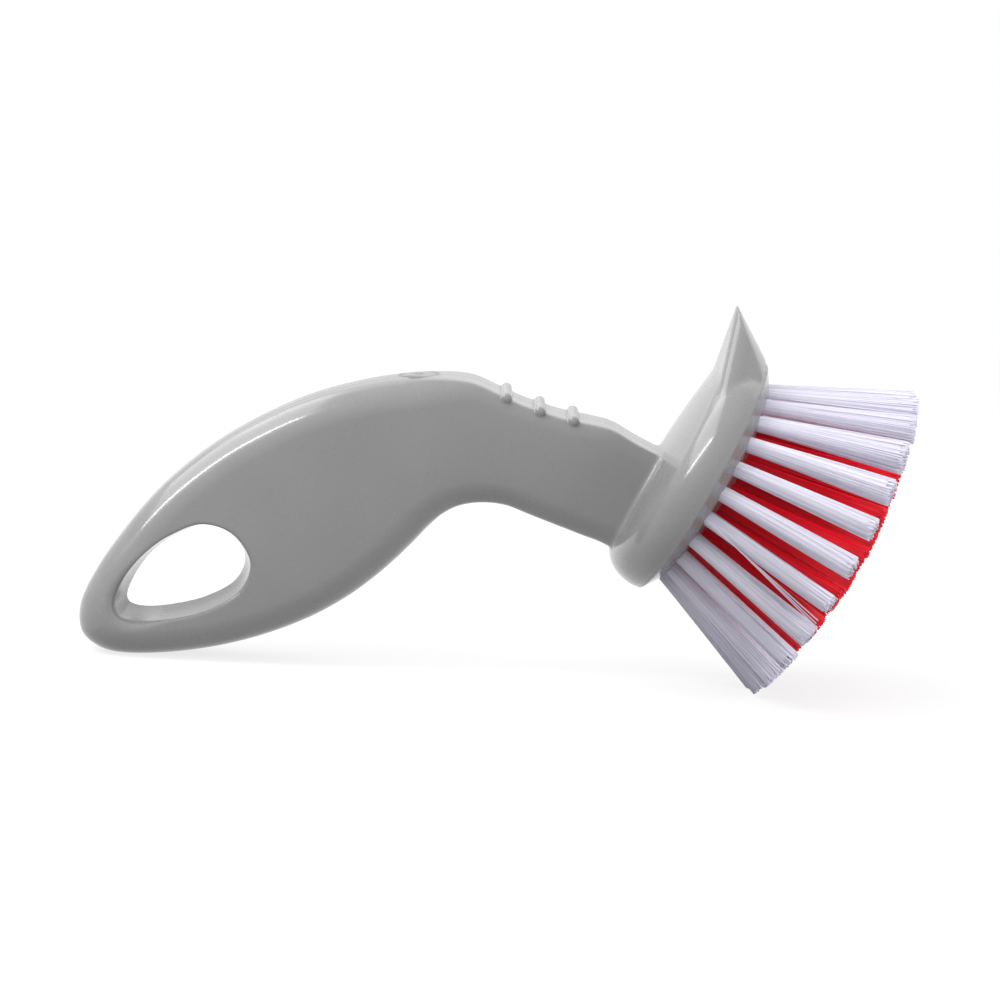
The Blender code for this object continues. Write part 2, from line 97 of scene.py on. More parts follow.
def loopDistance(points, loop, carried=None):
    # distance from plane points to a closed loop, negative inside, and what the loop carries at the nearest place:
    # the least distance to any of its sides, and inside where a line to the right crosses an odd number of sides
    flat = points.reshape(-1, 2)
    step = np.roll(loop, -1, axis=0) - loop
    square = np.maximum((step**2).sum(axis=1), 1e-12)
    distance = np.empty(len(flat))
    value = np.zeros(len(flat))
    following = None if carried is None else np.roll(carried, -1)
    batch = 5000  # points at a time, to save memory
    for first in range(0, len(flat), batch):
        some = flat[first:first + batch]
        overX = some[:, :1] - loop[:, 0]
        overZ = some[:, 1:] - loop[:, 1]
        share = np.clip((overX * step[:, 0] + overZ * step[:, 1]) / square, 0, 1)
        away = (overX - share * step[:, 0])**2 + (overZ - share * step[:, 1])**2
        nearest = away.argmin(axis=1)
        row = np.arange(len(some))
        crossing = (overZ >= 0) != (overZ - step[:, 1] >= 0)
        with np.errstate(divide="ignore", invalid="ignore"):
            ahead = crossing & (overX < overZ / step[:, 1] * step[:, 0])
        inside = ahead.sum(axis=1) % 2 == 1
        distance[first:first + batch] = np.sqrt(away[row, nearest]) * np.where(inside, -1, 1)
        if carried is not None:
            part = share[row, nearest]
            value[first:first + batch] = carried[nearest] * (1 - part) + following[nearest] * part
    return distance.reshape(points.shape[:-1]), value.reshape(points.shape[:-1])


def joined(a, b, width):
    # union with a fillet: the smaller distance, lowered where the two are nearly equal
    blend = np.maximum(width - np.abs(a - b), 0) / width
    return np.minimum(a, b) - blend**2 * width / 4


def common(a, b, width):
    # intersection with a rounded edge: the fillet of the two outsides, turned inside out
    return -joined(-a, -b, width)


def ramp(value, low, high):
    # 0 up to low, 1 from high on, level at both ends: 3 s squared - 2 s cubed of the share of the way
    share = np.clip((value - low) / (high - low), 0, 1)
    return share * share * (3 - 2 * share)


# The moulding is one field of distances: handle, ribs, head and scraper melt into each other.
head = {
    "x": 135.6, "z": 39.9, "tilt": np.radians(29.9), "radius": 28.5,
    "backRadius": 22.0, "backDepth": 7.7, "backCrown": 1.5, "backTaper": 0.6, "sideLift": 0.9,
    "rimEdge": (28.35, 1.7), "bedEdge": (24.4, 4.4), "bedCrown": 8.2, "bedDome": 80.2, "tuftDome": 61.0,
    "neckFillet": 1.1, "backSteps": 24, "rimSteps": 32, "bedSteps": 20,
    "halfDepth": 9.5, "exactWithin": 3,  # a flat disc of this half depth stands for it further off than this
}


def headPlace(u, v):
    # u runs up along the disc, v out of the bristle bed: x = u sin + v cos, z = u cos - v sin of the tilt
    sinTilt, cosTilt = np.sin(head["tilt"]), np.cos(head["tilt"])
    return head["x"] + u * sinTilt + v * cosTilt, head["z"] + u * cosTilt - v * sinTilt


def domeHeight(radius, dome):
    # a sphere's cap over the disc: the root of its radius squared less the distance from the middle squared
    return head["bedCrown"] - dome + np.sqrt(dome**2 - radius**2)


def headLoop():
    # back: a shallow paraboloid; rim: a quarter of an ellipse up to its edge; a straight bevel; bed: a sphere's cap
    share = np.linspace(0, 1, head["backSteps"])[:, None]
    back = np.hstack([head["backRadius"] * share, -head["backDepth"] - head["backCrown"] * (1 - share**2)])
    angle = np.linspace(0, np.pi / 2, head["rimSteps"])[1:, None]
    bulge = head["radius"] - head["backRadius"]
    rim = np.hstack([head["backRadius"] + bulge * np.sin(angle), -head["backDepth"] * np.cos(angle)])
    radius = head["bedEdge"][0] * (1 - np.linspace(0, 1, head["bedSteps"])[1:, None])
    bed = np.hstack([radius, domeHeight(radius, head["bedDome"])])
    half = np.vstack([back, rim, [head["rimEdge"], head["bedEdge"]], bed])
    mirrored = half[1:-1][::-1] * (-1, 1)
    return np.vstack([half, mirrored])


headOutline = headLoop()


def headField(u, y, v):
    # the turned profile, with its back leaning: heights below the rim shrink towards the scraper and the sides
    lean = 1 - head["backTaper"] * u / (head["backRadius"] * head["backDepth"])
    lean = lean - head["sideLift"] / head["backDepth"] * (y / head["backRadius"])**2
    height = np.where(v < 0, v / lean, v)
    radius = np.hypot(u, y)
    rough = np.maximum(radius - head["radius"], np.abs(height) - head["halfDepth"])
    near = rough < head["exactWithin"]
    rough[near] = loopDistance(np.stack([radius[near], height[near]], axis=-1), headOutline)[0]
    return rough


handle = {
    "reach": 135.6, "height": 61.4,
    "halfWidth": 10.0, "neckHalfWidth": 9.1, "narrowsFrom": 76.0, "narrowsTo": 94.0,
    "edgeRound": 6.8, "cut": 3.45, "underCut": 1.4, "cutRound": 0.7, "cutBlend": 0.6, "sideCrown": 0.040,
    # outline from the end to the neck as shares of reach and height, with the share of the broad edge round
    "upper": [
        (0.000, 0.138, 1), (0.001, 0.165, 1), (0.005, 0.200, 1), (0.013, 0.241, 1), (0.026, 0.292, 1),
        (0.043, 0.352, 1), (0.070, 0.432, 1), (0.110, 0.540, 1), (0.162, 0.652, 1), (0.238, 0.777, 1),
        (0.323, 0.878, 1), (0.393, 0.939, 1), (0.464, 0.979, 1), (0.522, 0.999, 1), (0.582, 1.003, 0.7),
        (0.638, 0.989, 0.2), (0.682, 0.947, 0), (0.717, 0.911, 0), (0.756, 0.880, 0), (0.794, 0.855, 0),
        (0.829, 0.840, 0), (0.866, 0.817, 0), (0.910, 0.760, 0)],
    "lower": [
        (0.0006, 0.110, 1), (0.0036, 0.084, 1), (0.0105, 0.060, 1), (0.022, 0.0375, 1), (0.039, 0.017, 1),
        (0.062, 0.0035, 1), (0.101, -0.002, 1), (0.161, 0.004, 1), (0.232, 0.026, 1), (0.306, 0.068, 1),
        (0.379, 0.131, 1), (0.441, 0.209, 1), (0.494, 0.299, 1), (0.537, 0.388, 1), (0.568, 0.463, 0.8),
        (0.593, 0.511, 0.5), (0.619, 0.540, 0.2), (0.653, 0.551, 0), (0.692, 0.541, 0), (0.732, 0.506, 0),
        (0.776, 0.467, 0), (0.815, 0.433, 0), (0.852, 0.400, 0)],
    "neckHeight": 23.6, "neckFootDrop": 1.2, "spanSteps": 8,
}
crown = {"x": (-3.0, 156.0), "z": (-4.0, 82.0), "step": 0.25, "most": 60, "far": 400}


def handleLoop():
    # the upper line from the end to the head and the lower line back as one loop, how deep each point of it
    # cuts into the edge round, and the two lines by themselves
    lines = []
    foot = -head["backRadius"] - handle["neckFootDrop"]
    for side, end in (("upper", foot + handle["neckHeight"]), ("lower", foot)):
        rows = [(x * handle["reach"], z * handle["height"], share) for x, z, share in handle[side]]
        lines.append(curveThrough(rows + [(*headPlace(end, 0.0), 0)], handle["spanSteps"]))
    depths = (handle["cut"], handle["underCut"])
    cuts = [deep * (1 - np.clip(line[:, 2], 0, 1)) for line, deep in zip(lines, depths)]
    upper, lower = lines[0][:, :2], lines[1][:, :2]
    return np.vstack([upper, lower[::-1]]), np.concatenate([cuts[0], cuts[1][::-1]]), upper, lower


outline, outlineCuts, upperLine, lowerLine = handleLoop()


def crownOn(xs, zs):
    # (distance to the upper line - distance to the lower line) squared, over their sum: 0 in the middle of the side
    far = crown["far"]
    points = np.stack(np.meshgrid(xs, zs, indexing="ij"), axis=-1)
    over = np.vstack([upperLine, [(far, far), (-far, far)]])
    under = np.vstack([lowerLine, [(far, -far), (-far, -far)]])
    fromUpper, fromLower = loopDistance(points, over)[0], loopDistance(points, under)[0]
    return np.clip((fromUpper - fromLower)**2 / np.maximum(fromUpper + fromLower, 1.0), 0, crown["most"])


crownAxes = [np.arange(*crown[axis], crown["step"]) for axis in "xz"]
crownGrid = crownOn(*crownAxes)


def crownAt(x, z):
    # straight between the four nearest values of the grid
    xs, zs = crownAxes
    placeX = np.clip((x - xs[0]) / crown["step"] + 0 * z, 0, len(xs) - 1.001)
    placeZ = np.clip((z - zs[0]) / crown["step"] + 0 * x, 0, len(zs) - 1.001)
    i, j = placeX.astype(int), placeZ.astype(int)
    shareX, shareZ = placeX - i, placeZ - j
    low = crownGrid[i, j] * (1 - shareZ) + crownGrid[i, j + 1] * shareZ
    high = crownGrid[i + 1, j] * (1 - shareZ) + crownGrid[i + 1, j + 1] * shareZ
    return low * (1 - shareX) + high * shareX


def handleField(x, y, z):
    # an outline with thickness: its edge is a quarter circle between the outline and the side,
    # and on the neck the outline cuts into that round and leaves a crisp edge
    toOutline, cut = loopDistance(np.stack(np.broadcast_arrays(x, z), axis=-1), outline, outlineCuts)
    edgeRound = handle["edgeRound"]
    narrowing = ramp(x, handle["narrowsFrom"], handle["narrowsTo"])
    halfWidth = handle["halfWidth"] - (handle["halfWidth"] - handle["neckHalfWidth"]) * narrowing
    # the sides are crowned: they fall by a share of the square of the way from the middle to an edge
    halfWidth = halfWidth - handle["sideCrown"] * crownAt(x, z)
    over = toOutline - cut + edgeRound
    beyond = np.abs(y) - halfWidth + edgeRound
    corner = np.hypot(np.maximum(over, 0), np.maximum(beyond, 0))
    rounded = np.minimum(np.maximum(over, beyond), 0) + corner - edgeRound
    crisp = common(rounded, toOutline + 0 * y, handle["cutRound"])
    return rounded + (crisp - rounded) * np.clip(cut / handle["cutBlend"], 0, 1)


ribs = {"first": 94.1, "pitch": 7.3, "count": 3, "radius": 1.2, "length": 17.2, "sink": 0.05, "fillet": 0.35}


def ribField(x, y, z, middleX):
    # a capsule across the thumb rest: the distance to a straight piece of line, less the radius
    middleZ = np.interp(middleX, upperLine[:, 0], upperLine[:, 1]) - ribs["sink"]
    reach = ribs["length"] / 2 - ribs["radius"]
    return np.sqrt((x - middleX)**2 + (z - middleZ)**2 + np.maximum(np.abs(y) - reach, 0)**2) - ribs["radius"]


scraper = {
    "edge": (36.55, -10.85), "frontFoot": (29.0, 0.9), "backFoot": (22.0, -7.1),
    "root": (20.07, -6.0), "rootSunk": 0.8, "rootHalfWidth": 17.9, "upwards": (0.893, -0.450),
    "narrows": 0.775, "turnsIn": 0.465, "backLean": 0.204, "frontCrown": 1.1, "cornerHalfWidth": 8.4,
    "backRound": 4.4, "frontRound": 0.5, "fillet": 0.45,
}


def scraperField(u, y, v):
    # flat back, crowned front, and on each side a facet whose half width falls with the height above the root
    # and turns in from back to front
    def plane(start, end):
        # distance to the line from start to end, positive on its right
        along = np.subtract(end, start) / np.hypot(*np.subtract(end, start))
        return (u - start[0]) * along[1] - (v - start[1]) * along[0]

    overU, overV = u - scraper["root"][0], v - scraper["root"][1]
    upU, upV = scraper["upwards"]
    height = upU * overU + upV * overV
    depth = -upV * overU + upU * overV
    narrowed = scraper["rootHalfWidth"] - scraper["narrows"] * height
    halfWidth = narrowed - scraper["turnsIn"] * (depth - scraper["backLean"] * height)
    flank = (np.abs(y) - halfWidth) / np.sqrt(1 + scraper["narrows"]**2 + scraper["turnsIn"]**2)
    bulge = scraper["frontCrown"] * (y / scraper["cornerHalfWidth"])**2
    solid = common(plane(scraper["backFoot"], scraper["edge"]), flank, scraper["backRound"])
    solid = common(solid, plane(scraper["edge"], scraper["frontFoot"]) + bulge, scraper["frontRound"])
    solid = common(solid, v - scraper["frontFoot"][1], scraper["frontRound"])
    return np.maximum(solid, -height - scraper["rootSunk"])


hole = {
    "width": 29.7, "height": 22.0, "endGap": 8.6, "heelGap": 8.1, "spanSteps": 8,
    "draft": 1.7, "endDraft": 0.9, "draftX": (20.0, 10.0), "draftZ": (25.0, 14.0),  # more draft at its lower end
    "edgeRound": 0.6, "softRound": 2.2, "softX": (24.0, 9.0), "softZ": (26.0, 13.0),  # and a softer mouth there
    "outline": [
        (0.002, 0.190), (0.034, 0.345), (0.116, 0.540), (0.226, 0.712), (0.396, 0.874), (0.636, 0.992),
        (0.866, 0.890), (0.996, 0.603), (0.915, 0.305), (0.677, 0.114), (0.399, 0.020), (0.170, 0.006),
        (0.040, 0.068)],
}
holeOutline = curveThrough(hole["outline"], hole["spanSteps"], closed=True)
holeOutline = holeOutline * (hole["width"], hole["height"]) + (hole["endGap"], hole["heelGap"])


def holeField(x, y, z):
    # negative inside the hole, which narrows evenly from both sides to a ridge in the middle
    toHole, _ = loopDistance(np.stack(np.broadcast_arrays(x, z), axis=-1), holeOutline)
    draft = hole["draft"] + hole["endDraft"] * ramp(x, *hole["draftX"]) * ramp(z, *hole["draftZ"])
    return toHole + hole["draft"] - draft * np.abs(y) / handle["halfWidth"]


tuftRings = {
    "fanDrop": 2.6,
    "rings": [  # name, how many, radius
        ("white_tuft", 23, 22.4), ("red_middle_tuft", 15, 15.5), ("red_inner_tuft", 8, 8.6),
        ("red_centre_tuft", 1, 0.0)],
    "holeRadius": 1.8, "holeDepth": 1.3, "mouthRound": 0.4, "drilledWithin": 3,
}


def tuftFrames():
    # name, foot and three directions of each tuft: all point away from one centre behind the bed
    fanCentre = np.array((-tuftRings["fanDrop"], 0.0, head["bedCrown"] - head["tuftDome"]))
    found = []
    for name, count, radius in tuftRings["rings"]:
        for i in range(count):
            angle = 2 * np.pi * (i + 0.5) / count
            radial = np.array((np.cos(angle), np.sin(angle), 0.0))
            foot = radial * radius + (0, 0, domeHeight(radius, head["tuftDome"]))
            along = foot - fanCentre
            along /= np.linalg.norm(along)
            aside = np.cross(along, radial)
            aside /= np.linalg.norm(aside)
            outward = np.cross(aside, along)
            found.append((f"{name}_{i + 1:02d}" if count > 1 else name, foot, outward, aside, along))
    return found


def fromHead(local, isPlace=True):
    # the head's own axes: first up the disc, second towards -y, third out of the bed
    x, z = headPlace(local[..., 0], local[..., 2])
    if not isPlace:
        x, z = x - head["x"], z - head["z"]
    return np.stack([x, -local[..., 1], z], axis=-1)


def mouldingField(x, y, z):
    # handle, ribs, hole, disc and scraper one after another, then a cylinder taken out for each tuft
    body = handleField(x, y, z)
    for i in range(ribs["count"]):
        body = joined(body, ribField(x, y, z, ribs["first"] + i * ribs["pitch"]), ribs["fillet"])
    soft = ramp(x, *hole["softX"]) * ramp(z, *hole["softZ"])
    mouthRound = hole["edgeRound"] + (hole["softRound"] - hole["edgeRound"]) * soft
    body = common(body, -holeField(x, y, z), mouthRound)
    sinTilt, cosTilt = np.sin(head["tilt"]), np.cos(head["tilt"])
    u = (x - head["x"]) * sinTilt + (z - head["z"]) * cosTilt
    v = (x - head["x"]) * cosTilt - (z - head["z"]) * sinTilt
    u, side, v = np.broadcast_arrays(u, y, v)
    disc = headField(u, side, v)
    body = joined(body, disc, head["neckFillet"])
    body = joined(body, scraperField(u, side, v), scraper["fillet"])
    near = (np.abs(disc) < tuftRings["drilledWithin"]) & (v > 0)
    local = np.stack([u[near], -side[near], v[near]], axis=-1)
    drilled = body[near]
    for _, foot, _, _, along in tuftFrames():
        over = local - foot
        height = over @ along
        radial = np.sqrt(np.maximum((over**2).sum(axis=-1) - height**2, 0))
        drill = np.maximum(radial - tuftRings["holeRadius"], -height - tuftRings["holeDepth"])
        drilled = common(drilled, -drill, tuftRings["mouthRound"])
    body[near] = drilled
    return body


def surfaceOf(field, axes):
    # one point in each grid cell that the surface passes, at the mean of its crossings,
    # and a quad round each grid edge that it crosses
    inside = field < 0
    shape = tuple(n - 1 for n in field.shape)
    total = np.zeros((*shape, 3))
    count = np.zeros(shape)
    rings = []
    for axis in range(3):
        low = np.take(inside, range(field.shape[axis] - 1), axis=axis)
        high = np.take(inside, range(1, field.shape[axis]), axis=axis)
        at = np.argwhere(low != high)
        after = at.copy()
        after[:, axis] += 1
        start, end = field[tuple(at.T)], field[tuple(after.T)]
        share = start / (start - end)
        place = np.stack([axes[k][at[:, k]] for k in range(3)], axis=-1)
        place[:, axis] += share * (axes[axis][after[:, axis]] - axes[axis][at[:, axis]])
        second, third = (axis + 1) % 3, (axis + 2) % 3
        cells = []
        for backSecond, backThird in ((0, 0), (1, 0), (1, 1), (0, 1)):
            cell = at.copy()
            cell[:, second] -= backSecond
            cell[:, third] -= backThird
            np.add.at(total, tuple(cell.T), place)
            np.add.at(count, tuple(cell.T), 1)
            cells.append(cell)
        rings.append((cells, start < 0))
    used = count > 0
    index = np.full(shape, -1)
    index[used] = np.arange(used.sum())
    points = total[used] / count[used][:, None]
    quads = []
    for cells, outwards in rings:
        quad = np.stack([index[tuple(cell.T)] for cell in cells], axis=-1)
        quad[~outwards] = quad[~outwards][:, ::-1]
        quads.append(quad)
    return points, np.vstack(quads)


def valueAndSlope(field, points, reach):
    # the mean of the four corners of a small tetrahedron, and their differences over its size
    corners = np.array([(1, -1, -1), (-1, -1, 1), (-1, 1, -1), (1, 1, 1)])
    values = np.array([field(*(points + corner * reach).T) for corner in corners])
    return values.mean(axis=0), values.T @ corners / (4 * reach)


grid = {
    "fromX": -1.1, "fineTo": 4.9, "fineFrom": 84.0, "toX": 152.8, "fineX": 0.45, "coarseX": 0.9,  # fine at both ends
    "fromZ": -1.3, "toZ": 79.0, "stepZ": 0.5,
    "handleToY": 11.5, "headFromY": 11.75, "headToY": 30.0, "handleY": 0.5, "headY": 0.62,
    "settling": 2, "slopeReach": 0.04, "leastSlope": 0.2, "mostMove": 0.3, "normalReach": 0.17,
}


def makeMoulding():
    # the zero surface of the field, moved on to it twice by value times slope over the slope squared;
    # its normals are the slope over a wider reach, so that they run smoothly over the fillets
    axisX = np.concatenate([
        np.arange(grid["fromX"], grid["fineTo"], grid["fineX"]),
        np.arange(grid["fineTo"], grid["fineFrom"], grid["coarseX"]),
        np.arange(grid["fineFrom"], grid["toX"], grid["fineX"])])
    half = np.concatenate([
        np.arange(grid["handleY"] / 2, grid["handleToY"], grid["handleY"]),
        np.arange(grid["headFromY"], grid["headToY"], grid["headY"])])
    axisY = np.concatenate([-half[::-1], half])
    axisZ = np.arange(grid["fromZ"], grid["toZ"], grid["stepZ"])
    field = mouldingField(axisX[:, None, None], axisY[None, :, None], axisZ[None, None, :])
    points, quads = surfaceOf(field, [axisX, axisY, axisZ])
    for _ in range(grid["settling"]):
        value, slope = valueAndSlope(mouldingField, points, grid["slopeReach"])
        steep = np.maximum((slope**2).sum(axis=1), grid["leastSlope"])[:, None]
        points = points - np.clip(value[:, None] * slope / steep, -grid["mostMove"], grid["mostMove"])
    _, normals = valueAndSlope(mouldingField, points, grid["normalReach"])
    normals /= np.linalg.norm(normals, axis=1, keepdims=True)
    print("moulding:", len(points), "points", len(quads), "quads")
    return meshObject("moulding", laid(points), quads.ravel(), 4, normals=turned(normals))


moulding = makeMoulding()
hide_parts("handle_and_head")
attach(moulding, "root")

# The bristles: each tuft is a bundle of thin filaments that fan out of its hole.
filament = {
    "perTuft": 150, "rootRadius": 1.75, "thickness": 0.3, "outwards": 0.3, "sides": 5, "rings": 8,
    "whiteLength": 33.8, "redLength": 33.0, "tipRadius": 3.0, "sunk": 1.1,
    "trim": 0.4, "tipDome": 0.011, "wander": 0.13, "bow": 0.12, "spreadPower": 1.05, "seed": 11,
    "goldenTurn": 2.39996, "cutFrom": 0.997, "cutWidth": 0.55, "floorGap": 0.00003,
    "bundled": 0.52, "bundledFrom": 0.3, "forward": 0.4, "cutForward": 3.0,
}
core = {"share": 0.965, "groove": 0.965, "uneven": 0.02, "end": 0.965, "sides": 64, "rings": 8, "mostTone": 0.7}
tipRadii = {  # the tufts that stand out for how far they are splayed
    "white_tuft_01": 3.3, "white_tuft_02": 3.0, "white_tuft_03": 3.6, "white_tuft_04": 2.9, "white_tuft_05": 2.4,
    "white_tuft_06": 2.5, "white_tuft_07": 2.0, "white_tuft_08": 2.5, "white_tuft_09": 2.2, "white_tuft_23": 3.3,
}
tipShifts = {  # how far a tuft's tip leans outward and round the ring
    "white_tuft_03": (0.0, 0.8), "white_tuft_04": (-0.5, 0.9), "white_tuft_05": (-0.2, 0.9),
    "white_tuft_06": (0.0, 0.8), "white_tuft_07": (0.2, 0.5), "white_tuft_08": (0.2, 0.3),
}
strays = {  # how far out and how far round each leans at the tip
    "white_tuft_07": [(2.6, 5.6), (2.4, 5.1), (2.2, 4.4)],
}
strayRoots = {"first": -0.5, "step": 0.3}


def unit(directions, least=1e-6):
    # each direction over its own length
    return directions / np.maximum(np.linalg.norm(directions, axis=-1, keepdims=True), least)


def circle(sides):
    # cosine and sine of equal steps round a circle
    angle = np.arange(sides) * 2 * np.pi / sides
    return np.stack([np.cos(angle), np.sin(angle)], axis=-1)


def tuftCore(place, length, tipRadius, tipShift, random):
    # a cone with a rib for every second side: its radius grows evenly from root to end, both ends closed by a fan
    foot, outward, aside, along = place
    sides, rings = core["sides"], core["rings"]
    share = np.linspace(0, core["end"], rings)
    spread = share ** filament["spreadPower"]
    radius = filament["rootRadius"] * (1 - spread) + tipRadius * spread
    ribbed = core["share"] * np.where(np.arange(sides) % 2, core["groove"], 1.0)
    ribbed = ribbed * (1 + random.uniform(-core["uneven"], core["uneven"], sides))
    flat = circle(sides)[None] * (radius[:, None] * ribbed)[..., None] + spread[:, None, None] * tipShift
    height = (share * length)[:, None, None]
    local = foot + flat[..., :1] * outward + flat[..., 1:] * aside + height * along
    radial = circle(sides)[None].repeat(rings, axis=0)
    bent = radial[..., :1] * outward + radial[..., 1:] * aside + filament["forward"] * along
    row = (np.arange(rings - 1) * sides)[:, None]
    here = np.arange(sides)[None]
    after = (here + 1) % sides
    first = np.stack([row + here, row + after, row + sides + after], axis=-1).reshape(-1, 3)
    second = np.stack([row + here, row + sides + after, row + sides + here], axis=-1).reshape(-1, 3)
    fan = np.arange(1, sides - 1)
    top = (rings - 1) * sides
    low = np.stack([0 * fan, fan + 1, fan], axis=-1)
    high = np.stack([0 * fan + top, fan + top, fan + 1 + top], axis=-1)
    tone = np.tile(random.uniform(0, core["mostTone"], sides), rings)
    return {
        "points": laid(fromHead(local)).reshape(-1, 3),
        "normals": unit(turned(fromHead(bent, isPlace=False))).reshape(-1, 3),
        "corners": np.vstack([first, second, low, high]),
        "marks": np.stack([tone, np.repeat(share, sides)], axis=-1),
    }


def tuftPiece(name, foot, outward, aside, along, random):
    # root and tip spots fill two discs along a golden spiral, and each filament runs between them with a slight
    # bow; inside, where filaments touch each other, they are one ribbed core
    n, sides = filament["perTuft"], filament["sides"]
    tipRadius = tipRadii.get(name, filament["tipRadius"])
    tipShift = np.array(tipShifts.get(name, (0.0, 0.0)))
    order = (np.arange(n) + 0.5) / n
    turn = np.arange(n) * filament["goldenTurn"] + random.uniform(0, 6.28)
    across = np.stack([np.cos(turn), np.sin(turn)], axis=-1) * (order ** filament["outwards"])[:, None]
    rootSpot = across * (filament["rootRadius"] - filament["thickness"] / 2)
    tipSpot = across * tipRadius + random.normal(0, filament["wander"], (n, 2))
    tipSpot += tipShift
    length = filament["whiteLength"] if name.startswith("white") else filament["redLength"]
    trimmed = random.uniform(-1, 1, n) * filament["trim"]
    lengths = length + trimmed - filament["tipDome"] * (tipSpot**2).sum(axis=1)
    bow = random.normal(0, filament["bow"], (n, 2))
    for which, lean in enumerate(strays.get(name, [])):
        rootSpot[-1 - which] = (filament["rootRadius"], strayRoots["step"] * which + strayRoots["first"])
        tipSpot[-1 - which] = lean
        bow[-1 - which] = 0.0
    # along a filament: sunk in its hole at 0, cut at 1, with one narrower ring to round the cut
    share = np.concatenate([np.linspace(0, 1, filament["rings"] - 1)[:-1], [filament["cutFrom"], 1.0]])
    rings = len(share)
    radius = filament["thickness"] / 2 * np.concatenate([np.ones(rings - 1), [filament["cutWidth"]]])
    height = share[None, :] * (lengths[:, None] + filament["sunk"]) - filament["sunk"]
    free = np.clip(height / length, 0, 1)[..., None]
    spread = free ** filament["spreadPower"]
    straight = rootSpot[:, None] * (1 - spread) + tipSpot[:, None] * spread
    middle = straight + bow[:, None] * np.sin(np.pi * free) * free
    ring = circle(sides)
    flat = middle[:, :, None, :] + ring[None, None] * radius[None, :, None, None]
    local = foot + flat[..., :1] * outward + flat[..., 1:] * aside + height[:, :, None, None] * along
    points = laid(fromHead(local))
    points[..., 2] = np.maximum(points[..., 2], filament["floorGap"])  # the lowest tips end on the floor
    # light that passes from filament to filament evens the bundle out, so each normal leans to the bundle's own
    fromAxis = unit(middle - spread * tipShift, filament["bundledFrom"])
    bent = filament["bundled"] * fromAxis[:, :, None, :] + (1 - filament["bundled"]) * ring[None, None]
    forward = np.append(np.full(rings - 1, filament["forward"]), filament["cutForward"])
    bent = bent[..., :1] * outward + bent[..., 1:] * aside + forward[None, :, None, None] * along
    normals = unit(turned(fromHead(bent, isPlace=False)))
    base = (np.arange(n) * rings * sides)[:, None, None]
    row = (np.arange(rings - 1) * sides)[None, :, None]
    here = np.arange(sides)[None, None, :]
    after = (here + 1) % sides
    near, far = base + row, base + row + sides
    walls = np.stack([near + here, near + after, far + after, far + here], axis=-1).reshape(-1, 4)
    corners = [walls[:, [0, 1, 2]], walls[:, [0, 2, 3]]]
    low, high = base[:, 0], base[:, 0] + (rings - 1) * sides
    for i in range(1, sides - 1):  # both ends are closed by a fan of triangles
        corners.append(np.hstack([low, low + i + 1, low + i]))
        corners.append(np.hstack([high, high + i, high + i + 1]))
    tone = random.uniform(0, 1, n)
    tone[n - len(strays.get(name, [])):] = 1.0
    marks = np.stack([np.repeat(tone, rings * sides), np.tile(np.repeat(share, sides), n)], axis=-1)
    inner = tuftCore((foot, outward, aside, along), length, tipRadius, tipShift, random)
    corners.append(inner["corners"] + n * rings * sides)
    piece = meshObject(
        name + "_bristles", np.vstack([points.reshape(-1, 3), inner["points"]]), np.concatenate(corners).ravel(), 3,
        normals=np.vstack([normals.reshape(-1, 3), inner["normals"]]), uv=np.vstack([marks, inner["marks"]]))
    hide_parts(name)
    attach(piece, "root")
    return piece


random = np.random.default_rng(filament["seed"])
tufts = [tuftPiece(*tuft, random) for tuft in tuftFrames()]
print("bristles:", len(tufts), "tufts")


# Materials
def newMaterial(name):
    # a node material, its tree and its shader
    material = bpy.data.materials.new(name)
    material.use_nodes = True
    return material, material.node_tree, material.node_tree.nodes["Principled BSDF"]


def setSockets(shader, values):
    # one plain value on each named socket
    for name, value in values.items():
        shader.inputs[name].default_value = value


def addNode(tree, kind, inputs=None, **settings):
    # a node with its settings; an input is linked where it is given a socket, and set where it is given a value
    node = tree.nodes.new(kind)
    for key, value in settings.items():
        setattr(node, key, value)
    for key, value in (inputs or {}).items():
        if isinstance(value, bpy.types.NodeSocket):
            tree.links.new(value, node.inputs[key])
        else:
            node.inputs[key].default_value = value
    return node


def ramped(tree, value, stops):
    # the colour between the two stops that the value lies between; a stop's single number is a grey
    node = addNode(tree, "ShaderNodeValToRGB", {"Fac": value})
    while len(node.color_ramp.elements) < len(stops):
        node.color_ramp.elements.new(0.5)
    for element, (place, colour) in zip(node.color_ramp.elements, stops):
        element.position = place
        element.color = (*(colour if isinstance(colour, tuple) else (colour,) * 3), 1.0)
    return node.outputs["Color"]


def multiplied(tree, first, second):
    # first times second, channel by channel
    inputs = {0: 1.0, 6: first, 7: second}
    return addNode(tree, "ShaderNodeMix", inputs, data_type="RGBA", blend_type="MULTIPLY").outputs[2]


def noise(tree, place, scale, detail, **more):
    # layers of smooth noise at the place: scale in waves to a metre, detail in layers
    inputs = {"Vector": place, "Scale": scale, "Detail": detail, **more}
    return addNode(tree, "ShaderNodeTexNoise", inputs).outputs["Fac"]


